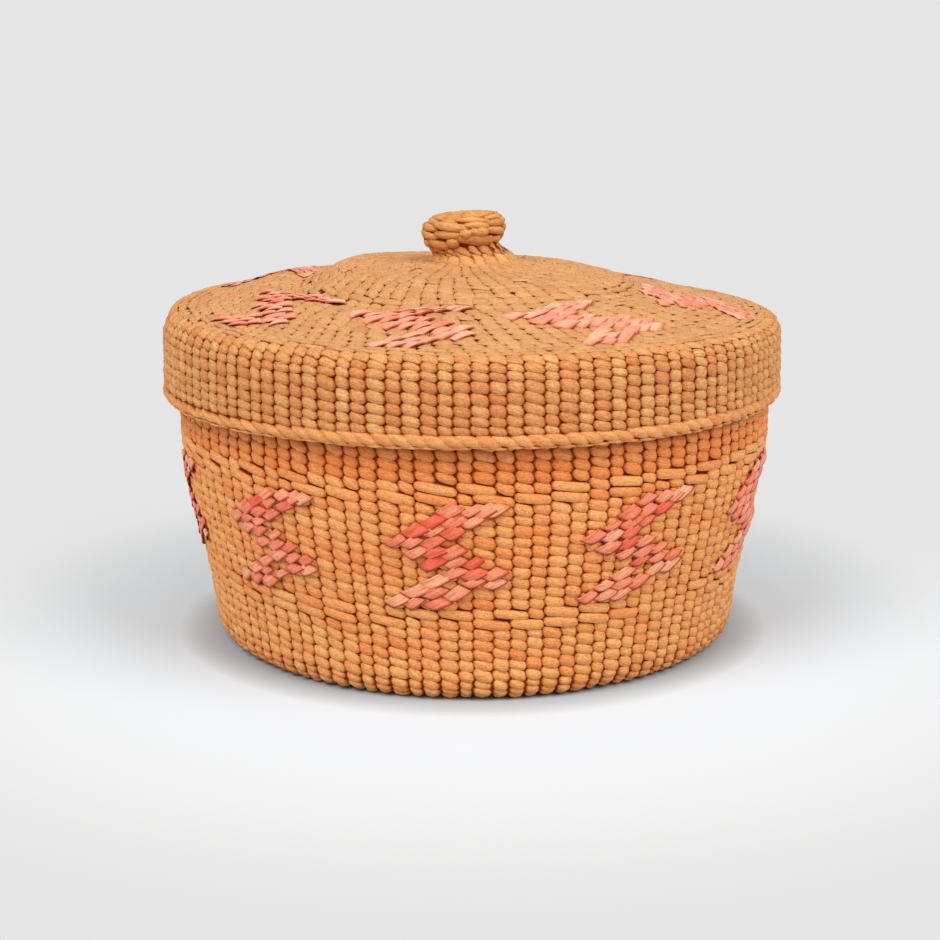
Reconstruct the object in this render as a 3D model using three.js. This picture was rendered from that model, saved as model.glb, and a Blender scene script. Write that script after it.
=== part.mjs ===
// A twined spruce root basket with a fitted lid: a flat base, a wall that swells a little
// towards the top, a lid whose flange slips over the wall, and a woven knob.
// Millimetres, +Z up. The origin is the middle of the ring that the basket stands on.
// Angles run from the front (-Y) towards +X.
import * as THREE from 'three';

// Weave of the body
const warpCount = 106;
const coursePitch = 2.07;
const courseRelief = 0.3;
const wallThickness = 2.4;
const turnCourses = 2;
const lowerCourses = 5;
const skipCourses = 2;
const figuredCourses = 10;
const upperCourses = 9;
const rimHeight = 2.3;
const rimRounding = 0.8;

// Outline of the body
const footRadius = 51;
const heelRadius = 54.4;
const rimRadius = 60.6;
const flareStart = 2;
const flareEnd = 46;

// Base
const footWidth = 4.6;
const baseThickness = 2.1;
const baseLift = 0.5;
const turnInset = 1.2;
const startRadius = 9;

// Lid
const lidThickness = 2;
const flangeWall = 1.8;
const flangeTaper = 0.2;
const flangeCourses = 5;
const flangePitch = 1.95;
const flangeWarps = 124;
const shoulderDrop = 2.25;
const shoulderRounding = 2.5;
const shoulderWidth = 3;
const domeRise = 10.5;
const domeSag = 0.85;
const domeSagTurn = THREE.MathUtils.degToRad(-105);
const domeLift = 0.3;
const domeTwist = 0.35;
const sagStart = 15;
const levelWidth = 8;
const lidCoursePitch = 1.95;
const innerSkipRadius = 35;
const skipRelief = 0.35;

// Braid along the lid's lower edge
const braidHeight = 2.6;
const braidWidth = 2.3;
const braidRelief = 0.28;
const braidSides = 5;

// Knob
const neckRadius = 7.9;
const neckHeight = 1.8;
const knobRadius = 8.8;
const knobHeight = 6.9;
const knobCourses = 3;
const knobRelief = 0.45;
const headLowAngle = THREE.MathUtils.degToRad(-54);
const headHighAngle = THREE.MathUtils.degToRad(81);
const crownRadius = 5;
const crownDepth = 2.3;
const coreRadius = 3;
const knobLean = THREE.MathUtils.degToRad(4.5);
const knobOffset = 1.7;

// Zigzag figures of flat grass strips
const bodyFigures = 10;
const lidFigures = 8;
const bodyFigureTurn = -5;
const lidFigureTurn = -12.5;
const lidFigureWarps = 100;
const lidFigureDrift = THREE.MathUtils.degToRad(0.9);
const figureThickness = 0.35;
const figureStitches = 3.4;
const figureSwing = 3;

// Fits
const seatGap = 0.3;
const ringGap = 0.3;
const figureGap = 0.3;
const lidClearance = 0.6;

// Facets of a full turn, steps of the curved profiles and facets across a figure
const facets = 36;
const knobFacets = 20;
const heelSteps = 3;
const domeSteps = 3;
const shoulderSteps = 4;
const wallFigureFacets = 2;
const lidFigureFacets = 1;
const domeTolerance = 1e-6;

// Heights of the wall's zones
const turnTop = turnCourses * coursePitch;
const lowerTop = turnTop + lowerCourses * coursePitch;
const lowerSkipTop = lowerTop + skipCourses * coursePitch;
const figuredTop = lowerSkipTop + figuredCourses * coursePitch;
const upperSkipTop = figuredTop + skipCourses * coursePitch;
const upperTop = upperSkipTop + upperCourses * coursePitch;
const rimTop = upperTop + rimHeight;

// Places of the lid
const lidUnderside = rimTop + seatGap;
const shoulderTop = lidUnderside + lidThickness;
const shoulderBottom = lidUnderside - shoulderDrop;
const braidTop = shoulderBottom - flangeCourses * flangePitch;
const lidEdge = braidTop - braidHeight;
const flangeBore = rimRadius + lidClearance;
const flangeRadius = flangeBore + flangeWall;
const shoulderRadius = flangeRadius - flangeTaper;
const outerSkipRadius = shoulderRadius - shoulderWidth;
const figuredRadius = outerSkipRadius - skipCourses * lidCoursePitch;
const innerRadius = innerSkipRadius - skipCourses * lidCoursePitch;
const rimInner = rimRadius - wallThickness;

const root = 0xd29a5e;
const paleRoot = 0xd9a868;
const coral = 0xe0766a;
const darkRoot = 0xa8713e;

const basket = new THREE.Group();
const body = new THREE.Group();
const lid = new THREE.Group();
basket.add(body, lid);

function add(group, name, geometry, color) {
  const material = new THREE.MeshStandardMaterial({ color, roughness: 0.8, metalness: 0 });
  const mesh = new THREE.Mesh(geometry, material);
  mesh.name = name;
  group.add(mesh);
}

// A ring from its closed profile of [radius, height] points, listed anticlockwise,
// or a disc where the profile starts and ends on the axis.
function turned(profile, turns = facets) {
  const points = profile.map(([r, z]) => new THREE.Vector2(r, z));
  if (profile[0][0] > 0) points.push(points[0].clone());
  return new THREE.LatheGeometry(points, turns).rotateX(Math.PI / 2);
}

// The body's outline: it stands upright at the heel and the rim, and swells between them.
function wallRadius(z) {
  const swell = THREE.MathUtils.smoothstep(z, flareStart, flareEnd);
  return THREE.MathUtils.lerp(heelRadius, rimRadius, swell);
}

// The lid's dome: almost level beside the shoulder, then rising to the knob.
const domeShape = new THREE.SplineCurve([
  new THREE.Vector2(0, 1),
  new THREE.Vector2(0.27, 0.88),
  new THREE.Vector2(0.59, 0.56),
  new THREE.Vector2(0.875, 0.11),
  new THREE.Vector2(1, 0),
]);

function domeHeight(radius) {
  const share = Math.min(radius / outerSkipRadius, 1);
  let low = 0;
  let high = 1;
  while (high - low > domeTolerance) {
    const middle = (low + high) / 2;
    if (domeShape.getPoint(middle).x < share) low = middle;
    else high = middle;
  }
  return shoulderTop + domeRise * domeShape.getPoint(low).y;
}

// The old lid's top is uneven: it has sagged at the back right and is fuller at the back left.
// Where it lies over the rim its underside stays level.
function uneven(x, y, z) {
  const r = Math.hypot(x, y);
  const turn = Math.atan2(x, -y);
  const tilt = domeSag * Math.cos(turn - domeSagTurn) + domeTwist * Math.sin(2 * turn);
  const grown = THREE.MathUtils.smoothstep(r, sagStart, innerRadius);
  const overRim = THREE.MathUtils.smoothstep(r, rimInner - levelWidth, rimInner);
  const under = 1 - THREE.MathUtils.smoothstep(z, lidUnderside, shoulderTop);
  return z + (domeLift + tilt) * grown * (1 - overRim * under);
}

function settled(geometry) {
  const position = geometry.getAttribute('position');
  for (let i = 0; i < position.count; i += 1) {
    position.setZ(i, uneven(position.getX(i), position.getY(i), position.getZ(i)));
  }
  return geometry;
}

// Points up the outside of the wall, with a groove between one course and the next.
function wallCourses(bottom, count, sunk = 0) {
  const points = [];
  for (let i = 0; i < count; i += 1) {
    const groove = bottom + i * coursePitch;
    const crest = groove + coursePitch / 2;
    points.push([wallRadius(groove) - courseRelief - sunk, groove]);
    points.push([wallRadius(crest) - sunk, crest]);
  }
  const top = bottom + count * coursePitch;
  points.push([wallRadius(top) - courseRelief - sunk, top]);
  return points;
}

function insideOfWall(top, bottom) {
  return [
    [wallRadius(top) - wallThickness, top],
    [wallRadius(bottom) - wallThickness, bottom],
  ];
}

function wallZone(bottom, top, count, sunk = 0) {
  return turned([...wallCourses(bottom, count, sunk), ...insideOfWall(top, bottom)]);
}

// Base: the crossed start, the courses round it, and the turn up into the wall
const startOuter = startRadius - ringGap;
const footInner = footRadius - footWidth;
const turnInner = wallRadius(turnTop) - wallThickness;
const baseTop = baseLift + baseThickness;

add(body, 'base_start', turned([
  [0, baseLift],
  [startOuter, baseLift],
  [startOuter, baseTop],
  [0, baseTop],
]), root);

add(body, 'base_courses', turned([
  [startRadius, baseLift],
  [footInner - ringGap, baseLift],
  [footInner - ringGap, baseTop],
  [startRadius, baseTop],
]), root);

function heelArc() {
  const points = [];
  for (let i = 0; i <= heelSteps; i += 1) {
    const angle = (i / heelSteps) * (Math.PI / 2);
    const r = footRadius + (wallRadius(turnTop) - footRadius) * Math.sin(angle);
    points.push([r, turnTop * (1 - Math.cos(angle))]);
  }
  return points;
}

add(body, 'base_turn', turned([
  [footInner, 0],
  ...heelArc(),
  [turnInner, turnTop],
  [turnInner - turnInset, baseTop],
  [footInner, baseTop],
]), root);

// Wall: the figured zone is sunk a little behind its figures.
add(body, 'wall_lower_courses', wallZone(turnTop, lowerTop, lowerCourses), root);
add(body, 'wall_lower_skip', wallZone(lowerTop, lowerSkipTop, skipCourses), paleRoot);
add(
  body,
  'wall_figured_courses',
  wallZone(lowerSkipTop, figuredTop, figuredCourses, figureGap),
  root,
);
add(body, 'wall_upper_skip', wallZone(figuredTop, upperSkipTop, skipCourses), paleRoot);

// The wall's top zone has its courses where it shows, and is plain inside the lid.
const shownCourses = Math.ceil((lidEdge - upperSkipTop) / coursePitch);
add(body, 'wall_upper_courses', turned([
  ...wallCourses(upperSkipTop, shownCourses),
  [rimRadius - courseRelief, upperTop],
  ...insideOfWall(upperTop, upperSkipTop),
]), root);

add(body, 'rim_edge', turned([
  [rimInner, upperTop],
  [rimRadius, upperTop],
  [rimRadius, rimTop - rimRounding],
  [rimRadius - rimRounding, rimTop],
  [rimInner + rimRounding, rimTop],
  [rimInner, rimTop - rimRounding],
]), paleRoot);

// Lid, from the knob outwards
function domeZone(inner, outer, steps, relief = 0) {
  const top = [];
  for (let i = 0; i <= steps; i += 1) {
    const r = THREE.MathUtils.lerp(outer, inner, i / steps);
    top.push([r, domeHeight(r) + (i % 2) * relief]);
  }
  const underside = [inner, outer].map((r) => [r, domeHeight(r) - lidThickness]);
  return [...underside, ...top];
}

add(lid, 'lid_start', turned([
  [0, domeHeight(0) - lidThickness],
  [startOuter, domeHeight(startOuter) - lidThickness],
  [startOuter, domeHeight(startOuter)],
  [0, domeHeight(0)],
]), root);
add(
  lid,
  'lid_inner_courses',
  settled(turned(domeZone(startRadius, innerRadius - ringGap, domeSteps))),
  root,
);
add(
  lid,
  'lid_inner_skip',
  settled(turned(domeZone(innerRadius, innerSkipRadius - ringGap, 2 * skipCourses, skipRelief))),
  paleRoot,
);
add(
  lid,
  'lid_figured_courses',
  settled(turned(domeZone(innerSkipRadius, figuredRadius - ringGap, domeSteps))),
  root,
);
add(
  lid,
  'lid_outer_skip',
  settled(turned(domeZone(figuredRadius, outerSkipRadius - ringGap, 2 * skipCourses, skipRelief))),
  paleRoot,
);

function shoulderArc() {
  const points = [];
  const centre = [shoulderRadius - shoulderRounding, shoulderTop - shoulderRounding];
  for (let i = 0; i <= shoulderSteps; i += 1) {
    const angle = (i / shoulderSteps) * (Math.PI / 2);
    const reach = shoulderRounding - (i % 2) * courseRelief;
    points.push([centre[0] + reach * Math.cos(angle), centre[1] + reach * Math.sin(angle)]);
  }
  return points;
}

add(lid, 'lid_shoulder', settled(turned([
  [flangeBore, shoulderBottom],
  [shoulderRadius - courseRelief, shoulderBottom],
  ...shoulderArc(),
  [outerSkipRadius, shoulderTop],
  [outerSkipRadius, lidUnderside],
  [flangeBore, lidUnderside],
])), paleRoot);

function flangeCoursesUp() {
  const points = [];
  for (let i = 0; i <= 2 * flangeCourses; i += 1) {
    const share = i / (2 * flangeCourses);
    const crest = flangeRadius - flangeTaper * share;
    points.push([
      crest - ((i + 1) % 2) * courseRelief,
      THREE.MathUtils.lerp(braidTop, shoulderBottom, share),
    ]);
  }
  return points;
}

add(lid, 'lid_flange', turned([
  ...flangeCoursesUp(),
  [flangeBore, shoulderBottom],
  [flangeBore, braidTop],
]), root);

// The braid: a flattened ring whose two strands pass over each other once a warp,
// a whole number of times round the lid.
function braidGeometry() {
  const columns = 2 * Math.round(flangeWarps);
  const middle = flangeBore + braidWidth / 2;
  const positions = [];
  const index = [];
  for (let i = 0; i < columns; i += 1) {
    const turn = (i / columns) * 2 * Math.PI;
    for (let k = 0; k < braidSides; k += 1) {
      const around = (k / braidSides) * 2 * Math.PI;
      const dip = braidRelief * (1 - Math.cos(Math.PI * i) * Math.cos(around));
      const r = middle + (braidWidth / 2 - dip) * Math.cos(around);
      const z = (lidEdge + braidTop) / 2 + (braidHeight / 2 - dip) * Math.sin(around);
      positions.push(r * Math.sin(turn), -r * Math.cos(turn), z);
      const here = i * braidSides + k;
      const above = i * braidSides + ((k + 1) % braidSides);
      const next = ((i + 1) % columns) * braidSides + k;
      const nextAbove = ((i + 1) % columns) * braidSides + ((k + 1) % braidSides);
      index.push(here, next, nextAbove, here, nextAbove, above);
    }
  }
  const geometry = new THREE.BufferGeometry();
  geometry.setAttribute('position', new THREE.Float32BufferAttribute(positions, 3));
  geometry.setIndex(index);
  geometry.computeVertexNormals();
  return geometry;
}

add(lid, 'lid_edge_braid', braidGeometry(), paleRoot);

// Knob: it leans a little, so its pieces are turned upright and then leaned together.
const neckBottom = domeHeight(0) + ringGap;
const neckTop = neckBottom + neckHeight;
const knobTop = neckTop + knobHeight;
const crownBottom = knobTop - crownDepth;
const knobBore = coreRadius + ringGap;

function leaned(geometry) {
  const position = geometry.getAttribute('position');
  for (let i = 0; i < position.count; i += 1) {
    const x = position.getX(i);
    const z = position.getZ(i);
    const grown = THREE.MathUtils.smoothstep(z, neckBottom, neckTop);
    position.setX(i, x - knobOffset * grown);
    position.setZ(i, z + x * Math.tan(knobLean) * grown);
  }
  return geometry;
}

add(lid, 'knob_neck', leaned(turned([
  [knobBore, neckBottom],
  [neckRadius, neckBottom],
  [neckRadius + knobRelief, (neckBottom + neckTop) / 2],
  [neckRadius, neckTop],
  [knobBore, neckTop],
], knobFacets)), darkRoot);

function headCourses() {
  const points = [];
  const sides = 2 * knobCourses;
  const low = neckTop + ringGap;
  for (let i = 0; i <= sides; i += 1) {
    const angle = THREE.MathUtils.lerp(headLowAngle, headHighAngle, i / sides);
    const reach = neckRadius + (knobRadius - neckRadius) * Math.cos(angle);
    points.push([
      reach - ((i + 1) % 2) * knobRelief,
      THREE.MathUtils.lerp(low, knobTop - ringGap, i / sides),
    ]);
  }
  return points;
}

add(lid, 'knob_head', leaned(turned([
  [knobBore, neckTop + ringGap],
  ...headCourses(),
  [crownRadius + ringGap, knobTop - ringGap],
  [crownRadius + ringGap, crownBottom],
  [knobBore, crownBottom],
], knobFacets)), root);

add(lid, 'knob_crown', leaned(turned([
  [0, crownBottom + ringGap],
  [crownRadius, crownBottom + ringGap],
  [crownRadius, knobTop - knobRelief],
  [crownRadius / 2, knobTop],
  [0, knobTop - knobRelief],
], knobFacets)), paleRoot);

add(lid, 'knob_core', leaned(turned([
  [0, neckBottom],
  [coreRadius, neckBottom],
  [coreRadius, neckTop],
  [coreRadius, crownBottom],
  [0, crownBottom],
], knobFacets)), darkRoot);

// A figure's sideways place in stitches, at a row counted down from its top:
// it runs left for one swing of courses, back right for one, and left again.
function zigzag(row) {
  const phase = THREE.MathUtils.euclideanModulo(row, 2 * figureSwing);
  return Math.abs(figureSwing - phase);
}

// One figure: a bent ribbon on the surface that place(middle, stitches, down, lift) gives.
function figureGeometry(middle, rows, across, place) {
  const positions = [];
  const index = [];
  const ring = (row, column, layer) => (row * (across + 1) + column) * 2 + layer;
  for (let row = 0; row <= rows; row += 1) {
    const step = (zigzag(row - 1) + zigzag(row)) / 2 - figureSwing / 2;
    for (let column = 0; column <= across; column += 1) {
      const side = (column / across - 0.5) * figureStitches;
      positions.push(...place(middle, step + side, row / rows, 0));
      positions.push(...place(middle, step + side, row / rows, figureThickness));
    }
  }
  const quad = (a, b, c, d) => index.push(a, b, c, a, c, d);
  for (let row = 0; row < rows; row += 1) {
    for (let column = 0; column < across; column += 1) {
      const [a, b] = [ring(row, column, 0), ring(row, column + 1, 0)];
      const [c, d] = [ring(row + 1, column + 1, 0), ring(row + 1, column, 0)];
      quad(a, b, c, d);
      quad(d + 1, c + 1, b + 1, a + 1);
    }
    const [left, leftNext] = [ring(row, 0, 0), ring(row + 1, 0, 0)];
    const [right, rightNext] = [ring(row, across, 0), ring(row + 1, across, 0)];
    quad(left, leftNext, leftNext + 1, left + 1);
    quad(right, right + 1, rightNext + 1, rightNext);
  }
  for (let column = 0; column < across; column += 1) {
    const [a, b] = [ring(0, column, 0), ring(0, column + 1, 0)];
    quad(a, a + 1, b + 1, b);
    const [c, d] = [ring(rows, column, 0), ring(rows, column + 1, 0)];
    quad(c, d, d + 1, c + 1);
  }
  const geometry = new THREE.BufferGeometry();
  geometry.setAttribute('position', new THREE.Float32BufferAttribute(positions, 3));
  geometry.setIndex(index);
  geometry.computeVertexNormals();
  return geometry;
}

function onWall(middle, stitches, down, lift) {
  const z = THREE.MathUtils.lerp(figuredTop, lowerSkipTop, down);
  const r = wallRadius(z) + lift;
  const angle = middle + (stitches / warpCount) * 2 * Math.PI;
  return [r * Math.sin(angle), -r * Math.cos(angle), z];
}

// The lid's columns of stitches run slantwise, and its figures go with them. Its stitches
// are as wide near the knob as at the edge of the figured courses, where they are counted.
function onLid(middle, stitches, down, lift) {
  const r = THREE.MathUtils.lerp(innerSkipRadius, figuredRadius - ringGap, down);
  const drift = (down - 0.5) * figuredCourses * lidFigureDrift;
  const stitchTurn = (figuredRadius / r / lidFigureWarps) * 2 * Math.PI;
  const turn = middle + stitches * stitchTurn + drift;
  const x = r * Math.sin(turn);
  const y = -r * Math.cos(turn);
  return [x, y, uneven(x, y, domeHeight(r)) + ringGap + lift];
}

function addFigures(group, prefix, count, firstTurn, across, place) {
  for (let i = 0; i < count; i += 1) {
    const middle = THREE.MathUtils.degToRad(firstTurn + (360 / count) * i);
    const name = prefix + String(i + 1).padStart(2, '0');
    add(group, name, figureGeometry(middle, figuredCourses, across, place), coral);
  }
}

addFigures(body, 'body_figure_', bodyFigures, bodyFigureTurn, wallFigureFacets, onWall);
addFigures(lid, 'lid_figure_', lidFigures, lidFigureTurn, lidFigureFacets, onLid);

export default basket;
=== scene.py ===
import math

import bpy
import numpy as np
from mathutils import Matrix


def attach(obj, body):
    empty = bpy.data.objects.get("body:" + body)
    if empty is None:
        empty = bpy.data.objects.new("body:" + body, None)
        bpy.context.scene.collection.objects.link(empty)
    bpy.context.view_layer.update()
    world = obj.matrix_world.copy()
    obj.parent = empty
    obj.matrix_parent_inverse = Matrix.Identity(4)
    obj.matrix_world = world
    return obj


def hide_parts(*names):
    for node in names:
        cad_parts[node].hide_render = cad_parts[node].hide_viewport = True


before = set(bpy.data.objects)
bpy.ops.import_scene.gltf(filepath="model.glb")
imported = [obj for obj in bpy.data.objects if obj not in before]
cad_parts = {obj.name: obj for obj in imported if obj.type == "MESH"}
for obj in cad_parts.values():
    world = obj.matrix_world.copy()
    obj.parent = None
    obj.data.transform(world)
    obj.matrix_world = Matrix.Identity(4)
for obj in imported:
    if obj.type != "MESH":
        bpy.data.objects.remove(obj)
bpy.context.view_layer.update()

# Lengths are in millimetres up to the meshes, which are made in metres. Angles run from the
# front, which is -Y, towards +X.
MM = 0.001
rng = np.random.default_rng(1137)

# Sizes shared with the solids. COURSE and LID_COURSE are the heights of one course.
WALL_WARPS = 106
LID_WARPS = 124
COURSE = 2.07
LID_COURSE = 1.95
WALL = 2.4
TURN_TOP = 2 * COURSE
LOWER_TOP = TURN_TOP + 5 * COURSE
LOWER_SKIP_TOP = LOWER_TOP + 2 * COURSE
FIGURED_TOP = LOWER_SKIP_TOP + 10 * COURSE
UPPER_SKIP_TOP = FIGURED_TOP + 2 * COURSE
UPPER_TOP = UPPER_SKIP_TOP + 9 * COURSE
RIM_TOP = UPPER_TOP + 2.3
HEEL_RADIUS, RIM_RADIUS = 54.4, 60.6
RIM_MIDDLE = RIM_RADIUS - WALL / 2
FLARE = (2, 46)  # heights between which the wall widens
FOOT_RADIUS, FOOT_INNER = 51.0, 46.4
BASE_LIFT, BASE_TOP = 0.5, 2.6
START_RADIUS = 9.0
LID_UNDER = RIM_TOP + 0.3
LID_THICK = 2.0
SHOULDER_TOP = LID_UNDER + LID_THICK
SHOULDER_BOTTOM = LID_UNDER - 2.25
BRAID_TOP = SHOULDER_BOTTOM - 5 * LID_COURSE
BRAID_BOTTOM = BRAID_TOP - 2.6
FLANGE_BORE = RIM_RADIUS + 0.6
FLANGE_RADIUS = FLANGE_BORE + 1.8
SHOULDER_RADIUS = FLANGE_RADIUS - 0.2
OUTER_SKIP = SHOULDER_RADIUS - 3.0
FIGURED_RADIUS = OUTER_SKIP - 2 * LID_COURSE
INNER_SKIP = 35.0
INNER_RADIUS = INNER_SKIP - 2 * LID_COURSE
DOME_RISE = 10.5
NECK_BOTTOM = SHOULDER_TOP + DOME_RISE + 0.3
NECK_TOP = NECK_BOTTOM + 1.8
KNOB_TOP = NECK_TOP + 6.9
KNOB_LEAN = math.radians(4.5)
KNOB_OFFSET = 1.7
AXIS = 0.01  # radius at which the outlines end in the middle


def smoothstep(x, low, high):
    """Rises smoothly from 0 at low to 1 at high."""
    t = np.clip((x - low) / (high - low), 0, 1)
    return t * t * (3 - 2 * t)


def bump(x, middle, width):
    """1 at the middle, and next to nothing twice the width away from it."""
    return np.exp(-((x - middle) / width) ** 2)


def wall_radius(z):
    """The radius of the wall's outside."""
    return HEEL_RADIUS + (RIM_RADIUS - HEEL_RADIUS) * smoothstep(z, *FLARE)


def spline(points, count=600):
    """Points along a Catmull-Rom curve."""
    p = np.array(points, float)
    t = np.linspace(0, len(p) - 1, count)
    i = np.minimum(t.astype(int), len(p) - 2)
    f = (t - i)[:, None]
    a, b = p[np.maximum(i - 1, 0)], p[i]
    c, d = p[i + 1], p[np.minimum(i + 2, len(p) - 1)]
    start, end = (c - a) / 2, (d - b) / 2
    cubic = (2 * b - 2 * c + start + end) * f**3
    return cubic + (3 * c - 3 * b - 2 * start - end) * f**2 + start * f + b


# The share of the dome's rise at shares of its radius
DOME = spline([(0, 1), (0.27, 0.88), (0.59, 0.56), (0.875, 0.11), (1, 0)])


def dome_height(radius):
    share = np.clip(np.asarray(radius, float) / OUTER_SKIP, 0, 1)
    return SHOULDER_TOP + DOME_RISE * np.interp(share, DOME[:, 0], DOME[:, 1])


def in_space(angle, r, z):
    return np.stack([r * np.sin(angle), -r * np.cos(angle), z], -1)


class Outline:
    """A surface of revolution about Z from its outline of (radius, height) points.

    A place on it is (angle from the front, length along the outline, lift along the
    normal, which is on the right of the outline's direction). Normals are evened over a
    short length, so that strands turn smoothly round a corner."""

    def __init__(self, points):
        step, evened = 0.1, 1.2
        p = np.array(points, float)
        far = np.r_[0, np.cumsum(np.hypot(*np.diff(p, axis=0).T))]
        self.s = np.arange(0, far[-1] + step / 2, step)
        self.r = np.interp(self.s, far, p[:, 0])
        self.z = np.interp(self.s, far, p[:, 1])
        half = max(1, int(evened / 2 / step))
        kernel = np.ones(2 * half + 1) / (2 * half + 1)
        tr, tz = (np.convolve(np.pad(np.gradient(line), half, "edge"), kernel, "valid")
                  for line in (self.r, self.z))
        size = np.hypot(tr, tz)
        self.nr, self.nz = tz / size, -tr / size
        self.length = self.s[-1]

    def near(self, r, z):
        """How far along the outline its point nearest to a radius and a height is."""
        return self.s[np.argmin((self.r - r) ** 2 + (self.z - z) ** 2)]

    def radius(self, s):
        return np.interp(s, self.s, self.r)

    def at(self, angle, s, lift):
        """Points in space. Past either end the outline runs straight on."""
        nr = np.interp(s, self.s, self.nr)
        nz = np.interp(s, self.s, self.nz)
        over = np.maximum(s - self.length, 0) + np.minimum(s, 0)
        r = self.radius(s) + lift * nr - over * nz
        z = np.interp(s, self.s, self.z) + lift * nz + over * nr
        return in_space(angle, r, z)


LID_SHIFT, BODY_SHIFT = -0.1, 0.35  # to the right: the lid sits a little askew on the body
WEAR_HEIGHT = 14


def settled(points, body):
    """The uneven set of the old basket: its dome is fuller on the left and sinks a little half
    way out, and its heel is worn round on the left and from the middle to the right."""
    x, y, z = points.T
    r = np.hypot(x, y)
    angle = np.arctan2(x, -y)
    side = np.sin(angle)
    if body == "body":
        worn = 0.7 * bump(angle, -1.15, 0.5)
        worn = worn + 0.8 * smoothstep(angle, 0.1, 0.6) * (1 - smoothstep(angle, 0.95, 1.7))
        share = 1 - worn * np.clip(1 - z / WEAR_HEIGHT, 0, 1) ** 2 / HEEL_RADIUS
        return np.stack([x * share + BODY_SHIFT, y * share, z], -1)
    right = np.clip(side, 0, 1)
    rise = 0.3 + 0.85 * np.cos(angle + math.radians(105)) + 0.35 * np.sin(2 * angle)
    wave = 0.2 * np.sin(3 * angle + 0.9) + 0.14 * np.sin(7 * angle - 0.11 * r)
    # It dips half way out, at the back on the left, and by the knob on the right.
    dip = (1.6 - 0.55 * side) * bump(r, 34.5, 5)
    dip = dip + 0.6 * bump(angle, -2.27, 0.2) * smoothstep(r, 38, 48)
    dip = dip + 0.4 * right * bump(r, 19, 3.5)
    swell = np.clip(0.3 - 0.6 * side, 0, 0.8) * bump(r, 23, 5)
    swell = swell + 0.6 * right * bump(r, 30, 3.5)
    rise = rise + wave * (1 - smoothstep(r, 48, 60)) - dip + swell
    z = z - 0.28 * (1 + side) * bump(r, 14, 3.5)
    # The underside stays where it is next to the rim of the body.
    inner_rim = RIM_RADIUS - WALL
    under = 1 - smoothstep(z, LID_UNDER, SHOULDER_TOP)
    free = 1 - smoothstep(r, inner_rim - 8, inner_rim) * under
    z = z + rise * smoothstep(r, 15, INNER_RADIUS) * free
    return np.stack([x + LID_SHIFT, y, z], -1)


def new_object(name, data):
    made = bpy.data.objects.new(name, data)
    bpy.context.scene.collection.objects.link(made)
    return made


# Places of a piece's materials: the figures have no core
STRANDS, CORE = 0, 1


class Weave:
    """Collects the strands of one piece and makes its mesh."""

    def __init__(self):
        self.points, self.strand, self.tint = [], [], []
        self.loops, self.sizes, self.slots = [], [], []
        self.count = 0

    def add(self, points, faces, strand, tint, slot=STRANDS):
        """points is (copies, template points, 3). strand is where each point is along and
        across its strand, and the strand's offset in the grain. tint is its lightness, its
        orange share and how near an edge it is, which sets its painted shade."""
        copies, size = points.shape[:2]
        flat = np.array([v for f in faces for v in f])
        shift = self.count + size * np.arange(copies)[:, None]
        self.loops.append((flat[None] + shift).ravel())
        self.sizes.append(np.tile([len(f) for f in faces], copies))
        self.slots.append(np.full(copies * len(faces), slot))
        self.points.append(points.reshape(-1, 3))
        for kept, values in ((self.strand, strand), (self.tint, tint)):
            columns = [np.broadcast_to(value, (copies, size)) for value in values]
            kept.append(np.stack(columns, -1).reshape(-1, 3))
        self.count += copies * size

    def shell(self, outline, start, end, sink, thick, rows, columns=96):
        """The core behind the stitches, from sink to sink + thick below the surface; its material
        paints it dark as shade in the gaps.
        """
        s = np.linspace(start, end, rows + 1)
        s = np.r_[s, s[::-1]]
        lift = np.r_[np.full(rows + 1, -sink), np.full(rows + 1, -sink - thick)]
        angle = np.arange(columns) / columns * 2 * np.pi
        a, t = np.meshgrid(angle, s, indexing="ij")
        points = outline.at(a, t, np.broadcast_to(lift, t.shape)).reshape(1, -1, 3)
        ring = len(s)
        faces = []
        for i in range(columns):
            j = (i + 1) % columns
            for k in range(ring):
                m = (k + 1) % ring
                faces.append((i * ring + k, j * ring + k, j * ring + m, i * ring + m))
        self.add(points, faces, (0.0, 0.0, 0.0), (0.5, 0.5, 1.0), CORE)

    def make(self, node, body, materials, slot):
        """Makes the piece, which has the name of the node that it replaces."""
        points = settled(np.concatenate(self.points), body) * MM
        loops = np.concatenate(self.loops).astype(np.int32)
        sizes = np.concatenate(self.sizes).astype(np.int32)
        mesh = bpy.data.meshes.new(node)
        mesh.vertices.add(len(points))
        mesh.vertices.foreach_set("co", points.astype(np.float32).ravel())
        mesh.loops.add(len(loops))
        mesh.loops.foreach_set("vertex_index", loops)
        mesh.polygons.add(len(sizes))
        starts = np.r_[0, np.cumsum(sizes)[:-1]].astype(np.int32)
        mesh.polygons.foreach_set("loop_start", starts)
        mesh.polygons.foreach_set("material_index", np.concatenate(self.slots).astype(np.int32))
        mesh.update(calc_edges=True)
        mesh.validate()
        mesh.polygons.foreach_set("use_smooth", np.ones(len(mesh.polygons), bool))
        for attribute, rows in (("strand", self.strand), ("tint", self.tint)):
            data = mesh.attributes.new(attribute, "FLOAT_VECTOR", "POINT")
            data.data.foreach_set("vector", np.concatenate(rows).astype(np.float32).ravel())
        for material in materials:
            mesh.materials.append(material)
        piece = new_object(node, mesh)
        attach(piece, body)
        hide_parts(node)
        return piece


UNDERSIDE = -0.1  # the height of a strand's underside, where its crest is at 1


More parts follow.
